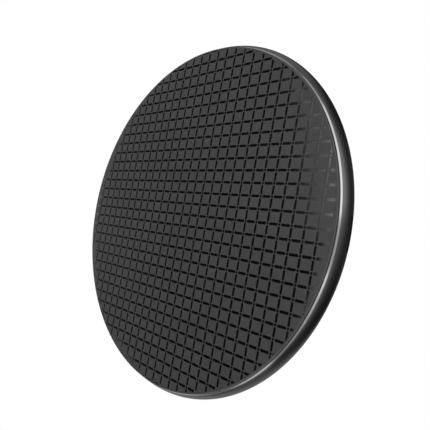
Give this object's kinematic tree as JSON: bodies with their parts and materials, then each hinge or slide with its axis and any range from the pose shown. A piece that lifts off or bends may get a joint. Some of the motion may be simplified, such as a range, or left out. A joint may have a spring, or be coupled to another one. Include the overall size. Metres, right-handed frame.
{
  "type": "wireless charging pad",
  "caption": "Round flat wireless charging pad: square-patterned cover in a bulged metal rim with a polished chamfer, USB inlet in the side, coil and board inside, rubber foot ring below.",
  "frame": {"origin": "centre of the foot ring's underside, on the table", "axes": "+Z out of the charging face, -Y out of the inlet"},
  "size_m": [0.1, 0.1, 0.0084],
  "materials": {
    "cover": "matte dark grey squares between glossy black dashes",
    "rim_metal": "dark anodised, satin, with a bright polished chamfer",
    "black_plastic": "fine moulded texture",
    "foot_rubber": "matte silicone",
    "black_tape": "double-sided foam tape",
    "clear_tape": "translucent adhesive film",
    "label": "blank printed film",
    "screw_steel": "zinc plated",
    "coil_wire": "enamelled copper strands",
    "solder": "bright solder",
    "ferrite": "sintered, matte",
    "foam": "open-cell foam",
    "sensor_bead": "dipped epoxy",
    "sensor_wire": "enamelled wire",
    "board": "green solder mask",
    "thermal_pad": "soft silicone",
    "inlet_metal": "nickel plated",
    "contact_metal": "gold plated",
    "chip_body": "moulded epoxy",
    "capacitor_body": "fired ceramic"
  },
  "bodies": {
    "root": {"top_cover": "cover", "cover_tape": "black_tape", "inner_plate": "black_plastic", "frame_ring": "rim_metal", "bottom_cover": "black_plastic", "foot_ring": "foot_rubber", "foot_tape": "clear_tape", "blank_label": "label", "case_screws": "screw_steel", "coil_tape": "clear_tape", "charging_coil": "coil_wire", "coil_leads": "coil_wire", "lead_solder": "solder", "ferrite_tape": "clear_tape", "ferrite_disc": "ferrite", "foam_cushion": "foam", "heat_sensor": "sensor_bead", "sensor_wires": "sensor_wire", "circuit_board": "board", "board_screws": "screw_steel", "thermal_pad": "thermal_pad", "usb_housing": "inlet_metal", "usb_tongue": "black_plastic", "usb_contacts": "contact_metal", "controller_chip": "chip_body", "regulator_chip": "chip_body", "bridge_transistors": "chip_body", "resonant_capacitors": "capacitor_body", "bulk_capacitors": "capacitor_body", "power_inductor": "ferrite", "sense_resistor": "chip_body", "crystal": "inlet_metal", "chip_resistors": "chip_body", "chip_capacitors": "capacitor_body"}
  },
  "joints": []
}
